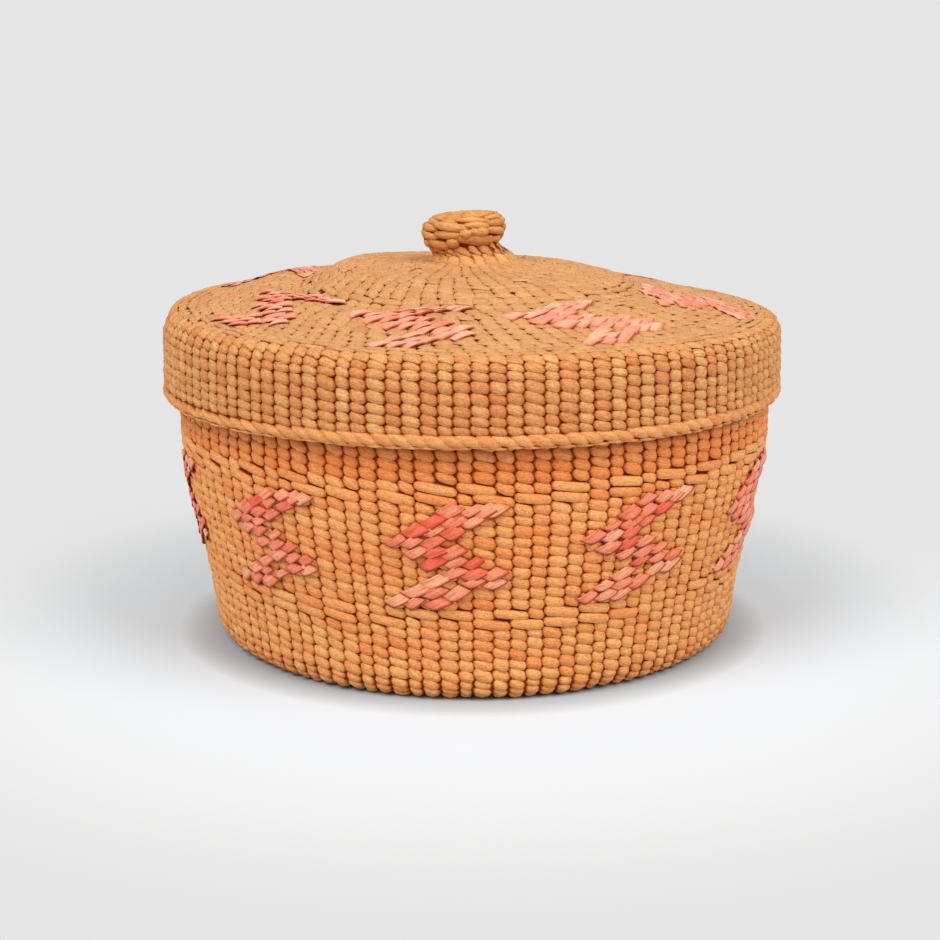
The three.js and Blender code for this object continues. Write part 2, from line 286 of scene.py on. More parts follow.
def pillow(stations, widths, crests, across, heights):
    """A closed strand: u runs along it and v across, each from -1 to 1, and w up. Also its faces
    and how near the gaps beside it each point is, which sets its painted shade."""
    points = [(-1, 0, 0)]
    for u, wide, crest in zip(stations, widths, crests):
        points += [(u, v * wide, w * crest) for v, w in zip(across, heights)]
        points.append((u, 0, UNDERSIDE))
    points.append((1, 0, 0))
    ring = len(across) + 1
    last = len(points) - 1
    faces = []
    for k in range(ring):
        m = (k + 1) % ring
        faces.append((0, 1 + k, 1 + m))
        for i in range(len(stations) - 1):
            a = 1 + i * ring
            faces.append((a + k, a + ring + k, a + ring + m, a + m))
        faces.append((last - ring + k, last, last - ring + m))
    points = np.array(points, float)
    return points, faces, np.clip(1 - points[:, 2], 0, 1)


def span(end, bend):
    """Five places along or across a strand."""
    return (-end, -bend, 0, bend, end)


def shares(end, bend):
    """The shares of its full width or height at five places."""
    return (end, bend, 1, bend, end)


ROUND = (span(1, 0.84), shares(0.1, 0.77))
BEAD = pillow(span(0.93, 0.58), shares(0.42, 0.9), shares(0.36, 0.84), *ROUND)
PLUMP = pillow(span(0.93, 0.58), shares(0.42, 0.88), shares(0.26, 0.8), *ROUND)
TAPER = pillow(span(0.96, 0.62), shares(0.3, 0.78), shares(0.25, 0.76), *ROUND)
LONG = pillow(span(0.96, 0.76), shares(0.6, 0.95), shares(0.5, 0.92), *ROUND)
FLAT = pillow(span(0.93, 0.62), shares(0.74, 0.98), shares(0.38, 0.84), span(1, 0.7),
              (0.62, 0.92, 1, 0.95, 0.72))
SMALL = pillow((-0.72, 0, 0.72), (0.8, 1, 0.8), (0.8, 1, 0.8), (-1, 0, 1), (0, 1, 0))

RIPPLE = 0.12
WIDTH_JITTER, HEIGHT_JITTER = 0.2, 0.12
GRAIN_SPAN = 97


def grain(n):
    """Random numbers from 0 to 1."""
    return rng.random(n)


def jitter(shape):
    """Random numbers from -0.5 to 0.5."""
    return rng.random(shape) - 0.5


def offsets(n):
    """Where the grain of each strand starts, so that no two look the same."""
    return grain(n)[:, None] * GRAIN_SPAN


def ripple(angle, s, phase):
    """A slow unevenness of the hand's work."""
    a = np.sin(3 * angle + 0.21 * s + phase) + 0.8 * np.sin(7 * angle - 0.33 * s + 2.1 * phase)
    return RIPPLE * (a + 0.6 * np.sin(13 * angle + 0.5 * s + 3.7 * phase)) / 2.4


def lay(weave, outline, angle, s, half_angle, half, lean, depth, top, template, colour):
    """Lays one strand at each angle and s. lean is its rise per length, and top its crest."""
    shape, faces, edge = template
    u, v, w = shape.T
    n = len(angle)
    v = v * (1 + WIDTH_JITTER * jitter((n, len(u))))
    w = w * (1 + HEIGHT_JITTER * jitter((n, len(u))))
    radius = outline.radius(s)[:, None]
    rise = half[:, None] * v + (lean * half_angle)[:, None] * radius * u
    lift = top[:, None] - depth * (1 - w)
    points = outline.at(angle[:, None] + half_angle[:, None] * u, s[:, None] + rise, lift)
    strand = (half_angle[:, None] * radius * u, half[:, None] * v, offsets(n))
    tone, hue = colour
    weave.add(points, faces, strand, (tone[:, None], hue[:, None], edge))


def root_colour(column, row, alternate, base=0.5, age=0.0):
    """Lightness and orange share of each stitch. alternate is how far every second one
    differs, and age how much darker they all are as painted shade."""
    n = len(column)
    hue = base + alternate * np.where(column % 2, 0.26, -0.26) + 0.6 * jitter(n)
    hue = hue + np.where(grain(n) < 0.1, 0.3, 0)
    tone = 0.5 - age + 0.7 * jitter(n) + 0.1 * np.sin(0.7 * column + 1.3 * row)
    return np.clip(tone, 0, 1), np.clip(hue, 0, 1)


def closed(sides):
    """Sides round the basket, with the first again after a whole turn."""
    return np.r_[sides, sides[0] + 2 * np.pi]


def warps(count, uneven=0.24):
    """Where the stitches of each warp begin round the basket: no two are quite as wide."""
    return closed((np.arange(count) + jitter(count) * uneven) * 2 * np.pi / count)


def table(columns, rows):
    """The warps of each row, from one count or one set of warps for all the rows."""
    if isinstance(columns, list):
        return columns
    return [warps(columns) if isinstance(columns, int) else columns] * rows


def at_angles(value, angle):
    """A value at each angle, from a number or a function of the angle."""
    return value(angle) if callable(value) else np.full(len(angle), value)


def courses(weave, outline, start, end, rows, columns, lean, depth=0.8, drift=0.0, fill=1.18,
            tall=1.2, uneven=0.22, alternate=0.0, template=BEAD, seed=0.0, top=0.0, base=0.5,
            growth=1.0, stagger=0.06, sunk=0.0, age=0.0):
    """Rows of stitches between two places on an outline. growth is the last row's height over
    the first's, and sunk the share of stitches that lie deeper than the rest."""
    heights = np.linspace(1, growth, rows)
    lines = start + (end - start) * np.cumsum(np.r_[0, heights]) / heights.sum()
    over = np.zeros(1)
    for i, sides in enumerate(table(columns, rows)):
        count = len(sides) - 1
        under = over if len(over) == count else np.zeros(count)
        over = jitter(count) * uneven * abs(lines[i + 1] - lines[i]) * (i < rows - 1)
        sides = closed(sides[:-1] + jitter(count) * stagger * np.diff(sides))
        angle = (sides[:-1] + sides[1:]) / 2 + drift * (i + 0.5)
        low = lines[i] + under
        high = lines[i + 1] + over
        middle = (low + high) / 2
        s = middle + ripple(angle, middle, seed)
        tilt = at_angles(lean, angle) * (0.8 + 0.4 * grain(count)) + 0.14 * jitter(count)
        crest = top + (grain(count) - 0.6) * 0.2 * depth
        crest = crest - np.where(grain(count) < sunk, 0.5 * depth, 0)
        fade = alternate[i] if isinstance(alternate, tuple) else alternate
        colour = root_colour(np.arange(count), i, fade, at_angles(base, angle), age)
        lay(weave, outline, angle, s, np.diff(sides) / 2 * fill, np.abs(high - low) / 2 * tall,
            tilt, depth, crest, template, colour)


def skip_courses(weave, outline, start, end, rows, columns, lean, seed, depth, share=0.72,
                 tall=1.05, top=0.0, template=BEAD, base=0.42):
    """Rows that mix long stitches over two warps with plain ones, staggered by one warp."""
    pitch = (end - start) / rows
    for i, sides in enumerate(table(columns, rows)):
        last = len(sides) - 1 + i % 2
        here = np.r_[sides, sides[1:3] + 2 * np.pi]
        plain, double = [], []
        j = i % 2
        while j < last:
            slow = 0.5 + 0.5 * math.sin(j * 0.21 + seed + i)
            if j + 1 < last and rng.random() < share * (0.5 + 0.5 * slow):
                double.append((here[j], here[j + 2], j))
                j += 2
            else:
                plain.append((here[j], here[j + 1], j))
                j += 1
        middle = start + (i + 0.5) * pitch
        # Template, height, lean, width and lift of each kind
        for spots, shape, high, slant, wide, raised in (
            (plain, template, 1.16, 1.0, 1.2, 0.0),
            (double, LONG, tall, 0.55, 1.05, 0.12),
        ):
            a, b, column = np.array(spots).T
            n = len(a)
            angle = (a + b) / 2
            s = middle + ripple(angle, middle, seed)
            half = abs(pitch) / 2 * high * (0.92 + 0.16 * grain(n))
            tilt = at_angles(lean, angle) * slant * (0.7 + 0.6 * grain(n))
            crest = top + jitter(n) * 0.14 + raised
            colour = root_colour(column.astype(int), i, 0.0, at_angles(base, angle))
            lay(weave, outline, angle, s, (b - a) / 2 * wide, half, tilt, depth, crest, shape,
                colour)


# Materials

def link(tree, a, b):
    tree.links.new(a, b)


def node(tree, kind, **values):
    made = tree.nodes.new(kind)
    for name, value in values.items():
        setattr(made, name, value)
    return made


def put(made, values):
    """Sets inputs of a node by their names."""
    for name, value in values.items():
        made.inputs[name].default_value = value


def feed(tree, value, socket):
    """Gives a socket a number, a colour or the output of another node."""
    if isinstance(value, tuple):
        socket.default_value = (*value, 1)
    elif isinstance(value, (int, float)):
        socket.default_value = value
    else:
        link(tree, value, socket)


def maths(tree, operation, a, b):
    made = node(tree, "ShaderNodeMath", operation=operation)
    for place, value in enumerate((a, b)):
        feed(tree, value, made.inputs[place])
    return made.outputs[0]


def mix(tree, kind, share, a, b):
    """Mixes colours, which are inputs 6 and 7 of the node."""
    made = node(tree, "ShaderNodeMix", data_type="RGBA", blend_type=kind)
    for place, value in ((0, share), (6, a), (7, b)):
        feed(tree, value, made.inputs[place])
    return made.outputs[2]


def ramp(tree, value, stops):
    made = node(tree, "ShaderNodeValToRGB")
    points = made.color_ramp.elements
    while len(points) < len(stops):
        points.new(0.5)
    for point, (place, colour) in zip(points, stops):
        point.position = place
        point.color = (*colour, 1) if isinstance(colour, tuple) else (colour,) * 3 + (1,)
    link(tree, value, made.inputs[0])
    return made.outputs[0]


def spread(tree, value, low, high, most=1.0):
    """Rises smoothly from 0 at low to most at high."""
    made = node(tree, "ShaderNodeMapRange", interpolation_type="SMOOTHSTEP")
    link(tree, value, made.inputs["Value"])
    put(made, {"From Min": low, "From Max": high, "To Max": most})
    return made.outputs[0]


def noise(tree, place, scale, detail, roughness=0.5):
    made = node(tree, "ShaderNodeTexNoise")
    link(tree, place, made.inputs["Vector"])
    put(made, {"Scale": scale, "Detail": detail, "Roughness": roughness})
    return made.outputs[0]


def srgb(*values):
    """A colour as the shaders take it, from sRGB values up to 255."""
    return tuple(
        (v / 255 / 12.92) if v <= 10 else ((v / 255 + 0.055) / 1.055) ** 2.4 for v in values
    )


MATT = {"Roughness": 0.9, "Specular IOR Level": 0.1}
SATIN = {"Specular IOR Level": 0.35}
FLECK_SHARES = (0.55, 1.0, 1.35)  # how far a fleck darkens red, green and blue


def new_material(name, finish):
    """A material, its tree and its shader."""
    material = bpy.data.materials.new(name)
    material.use_nodes = True
    tree = material.node_tree
    shader = tree.nodes["Principled BSDF"]
    put(shader, finish)
    return material, tree, shader


def strand_material(name, *colours, fibre=(0.8, 2.6), rough=0.6, fibre_depth=0.18, fleck=0.3,
                    crease_shade=(0.4, 0.9), rim=(0.92, 0.74, 0.5), speck_size=3.6,
                    mottle=(0.86, 0.76, 0.62)):
    """Root or grass. The colours are straw, orange, pale, deep and the painted shade in the gaps
    between strands.
    fibre is the fineness of the grain along and across a strand, crease_shade where that painted
    shade begins and is full on the way to its edge, and rim the painted shade on its flanks
    before that. mottle tints the specks."""
    straw, orange, pale, deep, gap_shade = (srgb(*colour) for colour in colours)
    material, tree, shader = new_material(name, SATIN)
    strand = node(tree, "ShaderNodeAttribute", attribute_name="strand").outputs["Vector"]
    tint = node(tree, "ShaderNodeAttribute", attribute_name="tint").outputs["Vector"]
    parts = node(tree, "ShaderNodeSeparateXYZ")
    link(tree, tint, parts.inputs[0])
    tone, hue, edge = parts.outputs
    stretch = node(tree, "ShaderNodeVectorMath", operation="MULTIPLY")
    link(tree, strand, stretch.inputs[0])
    stretch.inputs[1].default_value = (*fibre, 1)
    fine = noise(tree, stretch.outputs[0], 1.0, 4.0, 0.6)
    blotch = noise(tree, strand, 0.7, 3.0)
    patchy = maths(tree, "MULTIPLY", maths(tree, "SUBTRACT", blotch, 0.5), 0.7)
    base = mix(tree, "MIX", maths(tree, "ADD", hue, patchy), straw, orange)
    light = mix(tree, "MIX", tone, deep, pale)
    base = mix(tree, "MIX", 0.45, base, light)
    low = tuple(1 - fleck * share for share in FLECK_SHARES)
    middle = tuple(1 - fleck * share / 3 for share in FLECK_SHARES)
    stripes = ramp(tree, fine, [(0.36, low), (0.5, middle), (0.62, 1.0)])
    base = mix(tree, "MULTIPLY", 1.0, base, stripes)
    speck = noise(tree, strand, speck_size, 3.0)
    specks = ramp(tree, speck, [(0.38, mottle), (0.56, 1.0)])
    base = mix(tree, "MULTIPLY", 1.0, base, specks)
    # Painted shade: each strand darkens down its flanks and turns the dark colour of the creases
    # between strands
    base = mix(tree, "MULTIPLY", spread(tree, edge, 0.05, 0.55), base, rim)
    base = mix(tree, "MIX", spread(tree, edge, *crease_shade, 0.92), base, gap_shade)
    link(tree, base, shader.inputs["Base Color"])
    gloss = maths(tree, "ADD", maths(tree, "MULTIPLY", fine, 0.25), rough - 0.12)
    link(tree, gloss, shader.inputs["Roughness"])
    relief = node(tree, "ShaderNodeBump")
    put(relief, {"Strength": 0.6, "Distance": fibre_depth * MM})
    link(tree, fine, relief.inputs["Height"])
    link(tree, relief.outputs[0], shader.inputs["Normal"])
    return material


def shade_material(name, dark, light):
    """The core behind the strands, dark as painted shade in the gaps between them."""
    material, tree, shader = new_material(name, MATT)
    place = node(tree, "ShaderNodeTexCoord")
    cloud = noise(tree, place.outputs["Object"], 900, 2.0)
    shades = ramp(tree, cloud, [(0.35, srgb(*dark)), (0.65, srgb(*light))])
    link(tree, shades, shader.inputs["Base Color"])
    return material


ROOT = strand_material(
    "root_body", (248, 190, 120), (248, 148, 70), (254, 198, 130), (228, 134, 62), (132, 46, 4),
    fibre=(1.1, 4.2), fleck=0.44, fibre_depth=0.32, crease_shade=(0.36, 0.78), rim=(0.96, 0.82, 0.6),
    mottle=(0.86, 0.74, 0.58))
LID_ROOT = strand_material(
    "root_lid", (234, 190, 126), (218, 138, 78), (236, 184, 122), (206, 136, 76), (140, 54, 8),
    fibre=(1.1, 4.2), fleck=0.46, fibre_depth=0.32, crease_shade=(0.4, 0.85), rim=(0.95, 0.8, 0.58),
    mottle=(0.84, 0.72, 0.56))
# Root of the lid's top: yellower, and toned darker as painted shade against the stronger light
# that falls on the top
TOP_ROOT = strand_material(
    "root_top", (224, 178, 120), (210, 144, 88), (226, 178, 122), (204, 144, 92), (160, 90, 40),
    fibre=(1.6, 3.2), fleck=0.34, fibre_depth=0.4, crease_shade=(0.68, 1.15), rim=(0.97, 0.9, 0.8),
    speck_size=4.6, mottle=(0.84, 0.72, 0.58))
EDGE_ROOT = strand_material(
    "root_edge", (234, 174, 108), (222, 140, 76), (240, 180, 114), (212, 136, 72), (140, 52, 6))
KNOB_ROOT = strand_material(
    "root_knob", (230, 182, 116), (214, 146, 82), (232, 180, 116), (204, 134, 74),
    (140, 66, 20), fleck=0.36, fibre_depth=0.28)
GRASS = strand_material(
    "dyed_grass", (255, 206, 168), (250, 98, 72), (255, 186, 148), (236, 92, 66), (140, 28, 6),
    fibre=(0.25, 3.4), rough=0.45, fleck=0.46, crease_shade=(0.3, 0.86), rim=(0.97, 0.76, 0.6))
LID_GRASS = strand_material(
    "dyed_grass_lid", (255, 212, 184), (244, 130, 104), (255, 192, 160), (232, 122, 96),
    (190, 76, 48), fibre=(0.25, 3.4), rough=0.45, fibre_depth=0.16, fleck=0.34,
    crease_shade=(0.4, 1.2), rim=(0.98, 0.86, 0.76))
SHADE = shade_material("root_shade", (106, 36, 3), (140, 60, 10))
TOP_SHADE = shade_material("root_shade_top", (140, 72, 26), (172, 100, 48))


# Outlines

def heel():
    angle = np.linspace(0, math.pi / 2, 24)
    reach = wall_radius(TURN_TOP) - FOOT_RADIUS
    return [(FOOT_RADIUS + reach * math.sin(a), TURN_TOP * (1 - math.cos(a))) for a in angle]


RIM_BEND = RIM_TOP - 0.8
wall_up = [(wall_radius(z), z) for z in np.linspace(TURN_TOP, RIM_BEND, 80)]
wall_down = [(wall_radius(z) - WALL, z) for z in np.linspace(RIM_BEND, TURN_TOP, 80)]
BODY_OUT = Outline(
    [(AXIS, BASE_LIFT), (FOOT_INNER - 0.4, BASE_LIFT), (FOOT_INNER + 0.6, 0)]
    + heel() + wall_up[1:]
    + [(RIM_RADIUS - 0.3, RIM_TOP - 0.25), (RIM_RADIUS - 0.9, RIM_TOP), (RIM_MIDDLE, RIM_TOP)]
)
BODY_IN = Outline(
    [(RIM_MIDDLE, RIM_TOP), (RIM_RADIUS - WALL + 0.4, RIM_TOP - 0.2)] + wall_down
    + [(FOOT_RADIUS - 0.2, BASE_TOP + 0.1), (FOOT_RADIUS - 1.6, BASE_TOP), (AXIS, BASE_TOP)]
)
FLANGE_TOP_RADIUS = FLANGE_RADIUS + 0.15
shoulder = [
    (OUTER_SKIP + (FLANGE_TOP_RADIUS - OUTER_SKIP) * math.cos(a),
     SHOULDER_BOTTOM + (SHOULDER_TOP - SHOULDER_BOTTOM) * math.sin(a))
    for a in np.linspace(0, math.pi / 2, 16)
]
dome_in = [(r, float(dome_height(r))) for r in np.linspace(OUTER_SKIP, AXIS, 160)]
LID_OUT = Outline([(FLANGE_RADIUS + 0.25, BRAID_TOP)] + shoulder + dome_in[1:])
LID_IN = Outline(
    [(r, z - LID_THICK) for r, z in reversed(dome_in)]
    + [(FLANGE_BORE - 0.8, LID_UNDER), (FLANGE_BORE, LID_UNDER - 0.8), (FLANGE_BORE, BRAID_TOP)]
)


def body_lean(angle):
    """The lean of the wall's stitches, which is greatest on the left of the front."""
    return -(0.2 + 0.07 * np.cos(angle + 0.9))


def strawier_to_sides(hue, most=0.5):
    """The root is more straw-coloured towards the sides and back of the basket than in the middle
    of its front.
    """
    return lambda angle: hue - most * (1 - np.cos(angle))


def on_wall(z):
    return BODY_OUT.near(wall_radius(z), z)


def in_wall(z):
    return BODY_IN.near(wall_radius(z) - WALL, z)


def on_lid(r):
    return LID_OUT.near(r, float(dome_height(r)))


def under_lid(r):
    return LID_IN.near(r, float(dome_height(r)) - LID_THICK)


# Body: each piece has stitches outside and inside, and a core between them that is dark as
# painted shade

WALL_SIDES = warps(WALL_WARPS)
# The least radius at which the rows of the base and of the lid's inside have so many stitches:
# pairs of warps are added as they widen.
BASE_COUNTS = ((41, WALL_WARPS), (30, 80), (18, 54), (0, 27))
LID_COUNTS = ((55, LID_WARPS), (32.5, 93), (16, 62), (0, 31))
PLAIT_PITCH = 2.1


def small_courses(weave, outline, start, end, rows, columns, lean=0.18, depth=0.7, seed=0.0):
    """Rows of the small stitches of the insides and the base."""
    courses(weave, outline, start, end, rows, columns, lean, depth=depth, template=SMALL,
            seed=seed)


def disc_rows(weave, outline, start, end, pitch, lean, counts=BASE_COUNTS, depth=0.7, seed=0.0):
    """Courses over a disc, with fewer stitches towards its middle."""
    rows = max(1, round(abs(end - start) / pitch))
    step = (end - start) / rows
    for i in range(rows):
        a, b = start + i * step, start + (i + 1) * step
        r = outline.radius((a + b) / 2)
        count = next(count for least, count in counts if r > least)
        small_courses(weave, outline, a, b, 1, count, lean, depth, seed)


def plait(weave, height, side, radius):
    """Crossed flat strands over and under each other within a circle, facing side."""
    shape, faces, edge = BEAD
    u, v, w = shape.T
    along, across = u * PLAIT_PITCH * 0.95, v * PLAIT_PITCH * 0.46
    steps = np.arange(-radius, radius + PLAIT_PITCH, PLAIT_PITCH)
    spots = [(x, y, (i + j) % 2) for i, x in enumerate(steps) for j, y in enumerate(steps)
             if math.hypot(x, y) < radius]
    for crossed, a, b in ((0, along, across), (1, -across, along)):
        here = np.array([(x, y) for x, y, c in spots if c == crossed])
        n = len(here)
        points = np.zeros((n, len(shape), 3))
        points[..., 0] = here[:, :1] + a * side
        points[..., 1] = here[:, 1:] + b
        points[..., 2] = height + side * (w - 1) * 0.6
        weave.add(points, faces, (along, across, offsets(n)), (grain(n)[:, None], 0.5, edge))


def wall_piece(name, bottom, top, rows, seed, skip=False, hue=0.5, **rest):
    """A zone of the wall between two heights."""
    weave = Weave()
    low, high = on_wall(bottom), on_wall(top)
    weave.shell(BODY_OUT, low, high, sink=0.7, thick=WALL - 1.4, rows=rows)
    lay_rows = skip_courses if skip else courses
    lay_rows(weave, BODY_OUT, low, high, rows, WALL_SIDES, body_lean, seed=seed, depth=0.9,
             base=strawier_to_sides(hue), **rest)
    small_courses(weave, BODY_IN, in_wall(top), in_wall(bottom), rows, WALL_SIDES, seed=seed + 1)
    weave.make(name, "body", (ROOT, SHADE), "root")


turn = Weave()
foot_inside = BODY_OUT.near(FOOT_INNER, 0)
heel_start = BODY_OUT.near(FOOT_RADIUS, 0)
turn.shell(BODY_OUT, foot_inside, on_wall(TURN_TOP), sink=0.85, thick=0.9, rows=8)
small_courses(turn, BODY_OUT, foot_inside, heel_start, 2, WALL_SIDES, -0.2)
courses(turn, BODY_OUT, heel_start, on_wall(TURN_TOP), 3, WALL_SIDES, body_lean, depth=1.2,
        base=0.3, fill=1.08, uneven=0.5, template=PLUMP)
small_courses(turn, BODY_IN, in_wall(TURN_TOP), BODY_IN.near(FOOT_INNER, BASE_TOP), 4,
              WALL_SIDES)
turn.make("base_turn", "body", (ROOT, SHADE), "root")

base = Weave()
base_edge = FOOT_INNER - 0.3
start_edge = BODY_OUT.near(START_RADIUS, BASE_LIFT)
outer = BODY_OUT.near(base_edge, BASE_LIFT)
base.shell(BODY_OUT, start_edge, outer, sink=0.6, thick=0.9, rows=8)
disc_rows(base, BODY_OUT, start_edge, outer, COURSE, -0.2)
disc_rows(base, BODY_IN, BODY_IN.near(base_edge, BASE_TOP),
          BODY_IN.near(START_RADIUS, BASE_TOP), COURSE, 0.2)
base.make("base_courses", "body", (ROOT, SHADE), "root")

base_start = Weave()
base_start.shell(BODY_OUT, 0.3, start_edge, sink=0.6, thick=0.9, rows=2, columns=48)
plait(base_start, BASE_LIFT, -1, START_RADIUS - 0.6)
plait(base_start, BASE_TOP, 1, START_RADIUS - 0.6)
base_start.make("base_start", "body", (ROOT, SHADE), "root")

wall_piece("wall_lower_courses", TURN_TOP, LOWER_TOP, 5, seed=0.3, hue=0.3)
wall_piece("wall_lower_skip", LOWER_TOP, LOWER_SKIP_TOP, 2, seed=1.1, skip=True, hue=0.45)
wall_piece("wall_figured_courses", LOWER_SKIP_TOP, FIGURED_TOP, 10, seed=0.7)
wall_piece("wall_upper_skip", FIGURED_TOP, UPPER_SKIP_TOP, 2, seed=2.3, skip=True)
# Painted shade of the lid's overhang: these courses are darker and more orange
wall_piece("wall_upper_courses", UPPER_SKIP_TOP, UPPER_TOP, 9, seed=1.9, hue=0.74, age=0.6,
           fill=1.1)

rim = Weave()
rim_low, rim_high = on_wall(UPPER_TOP), BODY_OUT.near(RIM_MIDDLE, RIM_TOP)
rim.shell(BODY_OUT, rim_low, rim_high - 1.0, sink=0.7, thick=0.8, rows=3)
courses(rim, BODY_OUT, rim_low, rim_high, 2, WALL_SIDES, -0.2)
small_courses(rim, BODY_IN, 0.0, in_wall(UPPER_TOP), 1, WALL_SIDES, 0.2)
rim.make("rim_edge", "body", (EDGE_ROOT, SHADE), "edge_root")


# Lid: its warps are even round the shoulder, and run together and end towards the knob

LID_SIDES = warps(LID_WARPS)
LID_ZONES = (
    ("lid_outer_skip", OUTER_SKIP, FIGURED_RADIUS, 2),
    ("lid_figured_courses", FIGURED_RADIUS, INNER_SKIP, 10),
    ("lid_inner_skip", INNER_SKIP, INNER_RADIUS, 2),
    ("lid_inner_courses", INNER_RADIUS, START_RADIUS, 12),
)
DRIFT = -0.0157  # how far the warps turn from row to row
LID_STITCH = ((9, 35, 50, 59), (2.1, 3.5, 3.5, 3.0))  # radii, and how wide stitches are there


def lid_warps():
    """The warps of each row of the lid from its edge inwards, where the closest ones end."""
    sides, rows = LID_SIDES[:-1].copy(), []
    for _, outer, inner, count in LID_ZONES:
        for i in range(count):
            r = outer + (inner - outer) * (i + 0.5) / count
            wanted = 2 * np.pi * r / np.interp(r, *LID_STITCH)
            while len(sides) > wanted:
                gaps = np.diff(closed(sides))
                worth = (gaps + np.roll(gaps, 1)) * (0.7 + 0.6 * rng.random(len(sides)))
                sides = np.delete(sides, np.argmin(worth))
            before, after = np.roll(sides, 1), np.roll(sides, -1)
            before[0] -= 2 * np.pi
            after[-1] += 2 * np.pi
            sides = sides + 0.3 * (before + after - 2 * sides)
            rows.append(closed(sides + DRIFT * (len(rows) + 0.5)))
    return rows


lid_rows = lid_warps()
for name, outer, inner, count in LID_ZONES:
    weave = Weave()
    skip = "skip" in name
    start, end = on_lid(outer), on_lid(inner)
    weave.shell(LID_OUT, start, end, sink=0.6, thick=LID_THICK - 1.3, rows=max(2, count // 2))
    mine, lid_rows = lid_rows[:count], lid_rows[count:]
    if skip:
        skip_courses(weave, LID_OUT, start, end, count, mine, -0.2, seed=outer, depth=0.6,
                     template=FLAT, share=0.5, top=0.05, tall=0.8)
    else:
        courses(weave, LID_OUT, start, end, count, mine, -0.3, depth=0.5, template=FLAT,
                seed=outer, base=0.42, tall=1.34, fill=1.1, uneven=0.35, stagger=0.16,
                sunk=0.03)
    disc_rows(weave, LID_IN, under_lid(inner), under_lid(outer), LID_COURSE, 0.2, LID_COUNTS,
              depth=0.55, seed=outer)
    weave.make(name, "lid", (TOP_ROOT, SHADE if skip else TOP_SHADE), "lid_root")

lid_start = Weave()
start = on_lid(START_RADIUS)
lid_start.shell(LID_OUT, start, on_lid(3.0), sink=0.5, thick=0.9, rows=2, columns=48)
courses(lid_start, LID_OUT, start, on_lid(6.4), 1, 16, -0.1, depth=0.8, template=LONG,
        fill=0.95, top=0.25)
plait(lid_start, float(dome_height(0)) - LID_THICK, -1, START_RADIUS - 0.8)
lid_start.make("lid_start", "lid", (LID_ROOT, SHADE), "lid_root")

flange = Weave()
flange_high = LID_OUT.near(FLANGE_TOP_RADIUS, SHOULDER_BOTTOM)
flange_inside = LID_IN.near(FLANGE_BORE, SHOULDER_BOTTOM)
flange.shell(LID_OUT, 0.0, flange_high, sink=0.8, thick=0.6, rows=5)
courses(flange, LID_OUT, 0.0, flange_high, 5, LID_SIDES, -0.2, depth=0.9, seed=0.4,
        alternate=(0.4, 0.8, 1, 1, 1), template=PLUMP, base=strawier_to_sides(0.66, 0.8), growth=1.35,
        fill=1.15)
small_courses(flange, LID_IN, flange_inside, LID_IN.length, 5, LID_SIDES, depth=0.6)
flange.make("lid_flange", "lid", (LID_ROOT, SHADE), "lid_root")

bend = Weave()
bend_high = on_lid(OUTER_SKIP)
bend.shell(LID_OUT, flange_high, bend_high, sink=0.75, thick=0.8, rows=6)
bend_middle = flange_high + (bend_high - flange_high) * 0.62
courses(bend, LID_OUT, flange_high, bend_middle, 2, LID_SIDES, -0.2, depth=0.85, seed=0.4,
        alternate=(1, 0.8), template=PLUMP, growth=1.1, fill=1.15, base=strawier_to_sides(0.55, 0.6))
courses(bend, LID_OUT, bend_middle, bend_high, 1, LID_SIDES, -0.3, depth=0.6, seed=0.4,
        alternate=0.45, template=FLAT)
small_courses(bend, LID_IN, under_lid(OUTER_SKIP), flange_inside, 2, LID_SIDES, depth=0.6)
bend.make("lid_shoulder", "lid", (LID_ROOT, SHADE), "lid_root")


# Braid along the lid's edge: strands that start high, cross over the front and end low, with
# a row of thin ones below

SIDES = 7


def sweep(path, wide, thick):
    """Rings round paths given as (copies, stations, 3) places of (angle, radius, height)."""
    copies, stations = path.shape[:2]
    around = np.linspace(0, 2 * np.pi, SIDES, endpoint=False)
    rise = np.cos(around) * wide[..., None]
    out = np.sin(around) * thick[..., None]
    angle, r, z = (path[..., k][..., None] for k in range(3))
    points = in_space(angle + 0 * rise, r + out, z + rise)
    faces = []
    for i in range(stations - 1):
        for k in range(SIDES):
            m = (k + 1) % SIDES
            a, b = i * SIDES, (i + 1) * SIDES
            faces.append((a + k, a + m, b + m, b + k))
    faces.append(tuple(range(SIDES))[::-1])
    faces.append(tuple((stations - 1) * SIDES + k for k in range(SIDES)))
    return points.reshape(copies, stations * SIDES, 3), faces, around


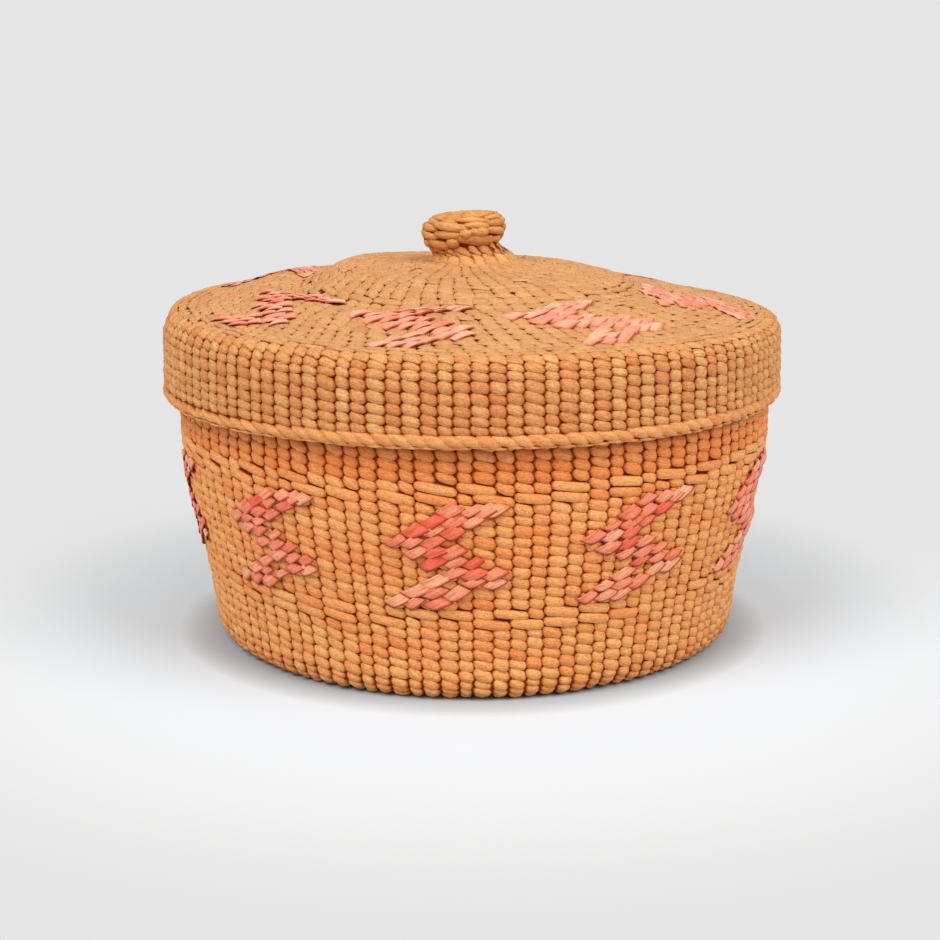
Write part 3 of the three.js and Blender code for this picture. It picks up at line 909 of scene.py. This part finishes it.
def braid_strands(weave, middle_z, radius, reach, low, wide, thick, bulge, shift=0.0, full=0.0,
                  stations=9):
    """Strands that reach so many warps and end low mm below their middle. bulge is how far they
    stand out there, shift moves them by a share of a warp, and full is how far before its
    middle each one is fullest."""
    n = LID_WARPS
    step = 2 * np.pi / n
    t = np.linspace(-1, 1, stations)
    base = (np.arange(n) + shift + jitter(n) * 0.16) * step
    path = np.zeros((n, stations, 3))
    path[..., 0] = base[:, None] + t * reach * step * (0.9 + 0.25 * grain(n)[:, None])
    inward = np.where(t > 0, 1.0, 0.8) * np.abs(t + 0.1) ** 2.2
    path[..., 1] = radius - bulge * inward + jitter(n)[:, None] * 0.14
    path[..., 2] = middle_z - low * np.sin(t * 1.5) + jitter(n)[:, None] * 0.24
    skew = (t + full) / np.where(t > -full, 1 + full, 1 - full)
    taper = np.sqrt(np.clip(1 - (np.abs(skew) * 0.97) ** 2.4, 0, 1))
    size = taper * (0.9 + 0.2 * grain(n)[:, None])
    # On the left of the front the braid is thinner and hangs a little lower.
    loose = smoothstep(np.abs((base + 1.15 + np.pi) % (2 * np.pi) - np.pi), 0.8, 0.3)[:, None]
    path[..., 2] -= 0.4 * loose
    wide_here = wide * size * (1 - 0.3 * loose)
    points, faces, around = sweep(path, wide_here, thick * (0.4 + 0.6 * size))
    along = np.repeat(t * reach * 3.15, SIDES)
    across = np.tile(around * wide * 0.8, stations)
    strand = (along, across, offsets(n))
    # Painted shade: each strand is darker along its sides, most on its side towards the lid, and
    # towards its ends, which go under the next strands
    edge = np.clip(0.55 - 0.6 * np.tile(np.sin(around), stations), 0, 1)
    edge = np.maximum(edge, np.repeat(np.clip((np.abs(t) - 0.72) / 0.28, 0, 1), SIDES))
    tone, hue = root_colour(np.arange(n), 0, 0.0)
    weave.add(points, faces, strand, (tone[:, None], hue[:, None], edge))


braid = Weave()
braid_mid = (BRAID_TOP + BRAID_BOTTOM) / 2
braid_strands(braid, braid_mid + 0.25, FLANGE_BORE + 1.45, reach=1.0, low=0.6, wide=1.1,
              thick=0.74, bulge=1.1, full=0.35)
braid_strands(braid, braid_mid - 0.95, FLANGE_BORE + 1.2, reach=0.62, low=0.06, wide=0.34,
              thick=0.4, bulge=0.5, shift=0.45, stations=7)
braid_bore = FLANGE_BORE + 1.3
core = Outline([(braid_bore, BRAID_BOTTOM + 0.5), (braid_bore, BRAID_TOP + 0.3)])
braid.shell(core, 0, core.length, sink=0, thick=1.4, rows=2)
braid.make("lid_edge_braid", "lid", (EDGE_ROOT, SHADE), "edge_root")


# Knob: coarse strands in level turns, leaned as one

def leaned(weave):
    """Leans the knob to the left, more and more up its neck."""
    for i, points in enumerate(weave.points):
        grown = smoothstep(points[:, 2], NECK_BOTTOM, NECK_TOP)
        x = points[:, 0] * np.where(points[:, 0] < 0, 1 - 0.1 * (1 - grown), 1.0)
        z = points[:, 2] + x * math.tan(KNOB_LEAN) * grown
        weave.points[i] = np.stack([x - KNOB_OFFSET * grown, points[:, 1], z], -1)


def knob_piece(weave, name):
    leaned(weave)
    weave.make(name, "lid", (KNOB_ROOT, SHADE), "knob_root")


KNOB = Outline(spline([
    (9.2, NECK_BOTTOM - 0.5), (7.9, NECK_TOP - 0.6), (8.0, NECK_TOP + 0.6), (8.6, NECK_TOP + 2.2),
    (8.8, NECK_TOP + 3.8), (8.3, NECK_TOP + 5.4), (6.6, KNOB_TOP - 0.4), (4.4, KNOB_TOP - 0.15),
    (AXIS, KNOB_TOP),
], 300))

neck = Weave()
neck_end = KNOB.near(7.9, NECK_TOP + 0.2)
neck_mid = neck_end * 0.5
neck.shell(KNOB, 0, neck_end, sink=1.1, thick=1.5, rows=2, columns=36)
courses(neck, KNOB, -1.2, neck_mid, 1, warps(20, 0.5), -0.3, depth=0.5, base=0.3, template=FLAT,
        fill=1.14, top=-0.1)
# The row under the head is more orange: painted shade under the head
courses(neck, KNOB, neck_mid, neck_end, 1, warps(17, 0.8), -0.1, depth=0.8, base=0.9, top=-0.5,
        tall=1.3)
knob_piece(neck, "knob_neck")

head = Weave()
head_end = KNOB.near(6.4, KNOB_TOP - 0.35)
head.shell(KNOB, neck_end, head_end, sink=1.0, thick=1.6, rows=6, columns=36)
turns = [warps(count, 0.7) for count in (9, 11, 10, 8)]
courses(head, KNOB, neck_end, head_end, 4, turns, -0.14, depth=1.1, template=TAPER, fill=1.4,
        uneven=0.6, drift=0.2, tall=1.12, stagger=0.3)
knob_piece(head, "knob_head")


def on_crown(r):
    return KNOB.near(r, KNOB_TOP)


crown = Weave()
crown.shell(KNOB, head_end, on_crown(1.0), sink=0.8, thick=1.6, rows=3, columns=24)
courses(crown, KNOB, head_end, on_crown(3.2), 1, 9, -0.15, depth=0.9, template=LONG, fill=1.06,
        uneven=0.25)
courses(crown, KNOB, on_crown(3.4), on_crown(0.4), 1, 4, -0.1, template=LONG, fill=1.1,
        uneven=0.2)
knob_piece(crown, "knob_crown")

bundle = Weave()
bundle_top = KNOB_TOP - 3.0
bundle_line = Outline([(2.9, NECK_BOTTOM), (2.9, bundle_top), (AXIS, bundle_top)])
bundle.shell(bundle_line, 0, bundle_line.length, sink=0, thick=0.6, rows=3, columns=16)
knob_piece(bundle, "knob_core")


# Figures of flat grass strips

# The corners of a strip, in shares of the width and the height of its cell
STRIP_CORNERS = np.array([(-0.76, -0.2), (0.18, 0.8), (0.8, 0.3), (-0.2, -0.82)])
# Painted shade along the lower rows of a strip
END_SHADE = (0, 0, 0, 0.2, 0.95)  # how near the gap the rows of a strip are


def strip():
    """A thin bent strip: its shares along and across, its lift, and its painted shade at its ends
    and along its lower edge.
    """
    rows = columns = 4
    places = []
    for side in (1, 0):
        for i in range(rows + 1):
            for j in range(columns + 1):
                p, q = j / columns, i / rows
                lift = np.interp(p, (0, 0.3, 0.7, 1), (-0.16, 0.3, 0.36, 0.12))
                rim = 0.8 if p == 0 else 0.4 if p == 1 else 0
                shade = max(rim, END_SHADE[i])
                places.append((p, q, lift + 0.1 * q - 0.22 * (1 - side), shade))
    line, layer = columns + 1, (rows + 1) * (columns + 1)
    faces = []
    for i in range(rows):
        for j in range(columns):
            k = i * line + j
            faces.append((k, k + line, k + line + 1, k + 1))
            faces.append((layer + k, layer + k + 1, layer + k + line + 1, layer + k + line))
    rim_path = list(range(columns + 1))
    rim_path += [i * line + columns for i in range(1, rows + 1)]
    rim_path += [rows * line + j for j in range(columns - 1, -1, -1)]
    rim_path += [i * line for i in range(rows - 1, 0, -1)]
    for k, here in enumerate(rim_path):
        there = rim_path[(k + 1) % len(rim_path)]
        faces.append((here, there, layer + there, layer + here))
    return np.array(places).T, faces


STRIP = strip()
STRIP_LENGTH, STRIP_HEIGHT = 4, 1.5  # as the grain of the grass sees them
CREASE = 0.7  # the least angle of a sharp edge, in radians
# Each row's swing to the right, the rows that are paler, and those that are redder
SWING = (3, 2, 1, 0, 1, 2, 3, 2, 1, 0)
MIDDLE_ROW = (len(SWING) - 1) / 2
PALE_ROWS = (0, 7)
RED_ROWS = (1, 2, 4, 5, 6)


def strip_places(row, body, dense):
    """Where the strips of a row are, in their widths to the right of the figure's middle."""
    swing = SWING[row]
    if row == 0:
        places = [swing - 2.6, swing - 1.5, swing - 0.7, swing - 0.2]
    elif row == 7:
        places = [swing - 2.4, swing - 0.4, swing + 0.55]
    else:
        places = [swing - 2.45 + k for k in range(3)]
    if row in (3, 4, 5) and body == "lid":
        places.insert(0, swing - 3.4)
    if row in (5, 6, 7) and dense:
        places.append(places[-1] + 1)
    return places


def figure(name, body, outline, middle, top, pitch, width, drift, standing, long=1.0,
           dense=False):
    """Rows of strips that zigzag along an outline from top. drift is how far they turn from row
    to row, standing how far they stand out, and long their share of the full length."""
    (p, q, w, rim), faces = STRIP
    spots = []
    for row in range(len(SWING)):
        places = strip_places(row, body, dense)
        spots += [(row, place, k == len(places) - 1) for k, place in enumerate(places)]
    n = len(spots)
    row, place, last = np.array(spots, float).T
    place = place + jitter(n) * 0.18
    s = top + pitch * (row + 0.5 + jitter(n) * 0.16)
    step = width / outline.radius(s)
    angle = middle + place * step + drift * (row - MIDDLE_ROW)
    size = (0.96 if body == "lid" else 0.85) + 0.24 * rng.random((n, 1, 1))
    corners = STRIP_CORNERS[None] * size * np.array([long, 1.0])
    corners = corners + jitter((n, 4, 2)) * 0.26
    a, b, c, d = (corners[:, k, None, :] for k in range(4))
    along, across = p[None, :, None], q[None, :, None]
    near_side = a * (1 - along) + b * along
    far_side = d * (1 - along) + c * along
    spot = near_side * (1 - across) + far_side * across
    x, y = spot[..., 0], spot[..., 1]
    bulge = w[None] * (0.7 + 0.6 * rng.random(n))[:, None] * standing
    lift = min(0.1, 0.04 + 0.1 * standing) + bulge
    points = outline.at(angle[:, None] + x * step[:, None], s[:, None] + y * abs(pitch), lift)
    tone = np.clip(0.5 + jitter(n) + 0.2 * np.isin(row, PALE_ROWS), 0, 1)
    hue = 0.45 + 0.7 * jitter(n) + np.where(np.isin(row, RED_ROWS), 0.25, 0)
    hue = np.clip(hue - np.where((last > 0) & np.isin(row, PALE_ROWS), 0.8, 0), 0, 1)
    strand = (p * STRIP_LENGTH, q * STRIP_HEIGHT, offsets(n))
    weave = Weave()
    weave.add(points, faces, strand, (tone[:, None], hue[:, None], rim))
    made = weave.make(name, body, (LID_GRASS if body == "lid" else GRASS,), "dyed_grass")
    made.data.set_sharp_from_angle(angle=CREASE)


for i in range(10):
    figure(f"body_figure_{i + 1:02d}", "body", BODY_OUT, math.radians(-5.8 + 36 * i),
           on_wall(FIGURED_TOP), -COURSE, width=3.6, drift=0.0, standing=1.0)

# How far the strips of each figure of the lid stand out, and how many degrees it is turned by.
# The second one's strips are longer and closer, and the seventh's narrower.
LID_STANDING = (1.0, 0.8, 0.7, 0.05, 0.2, 0.2, 0.4, 0.8)
LID_TURN = (-1, -5, 0, 8, 0, 0, -8, 0)
lid_step = (on_lid(FIGURED_RADIUS) - on_lid(INNER_SKIP)) / 10
for i, (standing, turned) in enumerate(zip(LID_STANDING, LID_TURN)):
    figure(f"lid_figure_{i + 1:02d}", "lid", LID_OUT, math.radians(-12.5 + 45 * i + turned),
           on_lid(INNER_SKIP), lid_step, width=2.7 if i == 6 else 3.2, drift=-DRIFT,
           standing=standing, long=1.0 if i == 1 else 0.88, dense=i == 1)


# Floor, light and camera, in metres

BACKDROP = srgb(229, 229, 229)
AMBIENT = 0.5
FLOOR_REACH = 6
LAMP_TARGET = (0, 0, 0.04)


def camera_ray(tree):
    return node(tree, "ShaderNodeLightPath").outputs["Is Camera Ray"]


def floor_looks():
    """A pale floor with a painted contact shadow under the basket's foot and a cool tint beside
    it that offsets the orange light bounced from the basket; it fades into the backdrop's colour
    away from the basket.
    """
    material, tree, shader = new_material("floor", MATT)
    glow = node(tree, "ShaderNodeEmission")
    place = node(tree, "ShaderNodeTexCoord")
    far = node(tree, "ShaderNodeVectorMath", operation="LENGTH")
    link(tree, place.outputs["Object"], far.inputs[0])
    # Painted contact shadow under the foot, then a cool tint against the basket's orange bounce
    # light
    near = spread(tree, far.outputs["Value"], 0.05, 0.13)
    pale = ramp(tree, near, [(0.0, srgb(170, 176, 180)), (0.06, srgb(212, 222, 228)),
                             (1.0, srgb(215, 216, 216))])
    link(tree, pale, shader.inputs["Base Color"])
    reach = spread(tree, far.outputs["Value"], 0.056, 0.16)
    fade = ramp(tree, reach, [(0.2, srgb(242, 242, 242)), (0.8, BACKDROP)])
    link(tree, fade, glow.inputs["Color"])
    both = node(tree, "ShaderNodeMixShader")
    link(tree, maths(tree, "MULTIPLY", camera_ray(tree), reach), both.inputs[0])
    link(tree, shader.outputs[0], both.inputs[1])
    link(tree, glow.outputs[0], both.inputs[2])
    link(tree, both.outputs[0], tree.nodes["Material Output"].inputs["Surface"])
    return material


floor_mesh = bpy.data.meshes.new("floor")
r = FLOOR_REACH
floor_mesh.from_pydata([(-r, -r, 0), (r, -r, 0), (r, r, 0), (-r, r, 0)], [], [(0, 1, 2, 3)])
floor_mesh.materials.append(floor_looks())
floor = new_object("floor", floor_mesh)

world = bpy.data.worlds.new("studio")
bpy.context.scene.world = world
world.use_nodes = True
world_tree = world.node_tree
background = world_tree.nodes["Background"]
background.inputs["Color"].default_value = (1, 1, 1, 1)
strength = node(world_tree, "ShaderNodeMix", data_type="FLOAT")
strength.inputs[2].default_value = AMBIENT
strength.inputs[3].default_value = BACKDROP[0]
link(world_tree, camera_ray(world_tree), strength.inputs[0])
link(world_tree, strength.outputs[0], background.inputs["Strength"])


def lamp(name, place, size, watts):
    """A round lamp that is turned to the basket."""
    data = bpy.data.lights.new(name, "AREA")
    data.shape = "DISK"
    data.size = size
    data.energy = watts
    made = new_object(name, data)
    made.location = place
    x, y, z = (t - p for t, p in zip(LAMP_TARGET, place))
    made.rotation_euler = (math.atan2(math.hypot(x, y), -z), 0, math.atan2(y, x) - math.pi / 2)


lamp("key", (-0.62, -0.72, 1.1), 0.8, 12.5)
lamp("fill", (0.72, -0.56, 0.98), 0.9, 10.8)

# Fitted to the outline in the photo, 13 degrees down
camera_data = bpy.data.cameras.new("camera")
camera_data.sensor_width = 36
camera_data.lens = 75.48
camera = new_object("camera", camera_data)
camera.location = (-0.0005, -0.4026, 0.1251)
camera.rotation_euler = (math.radians(90 - 13), 0, 0)
bpy.context.scene.camera = camera
bpy.context.scene.view_settings.view_transform = "Standard"
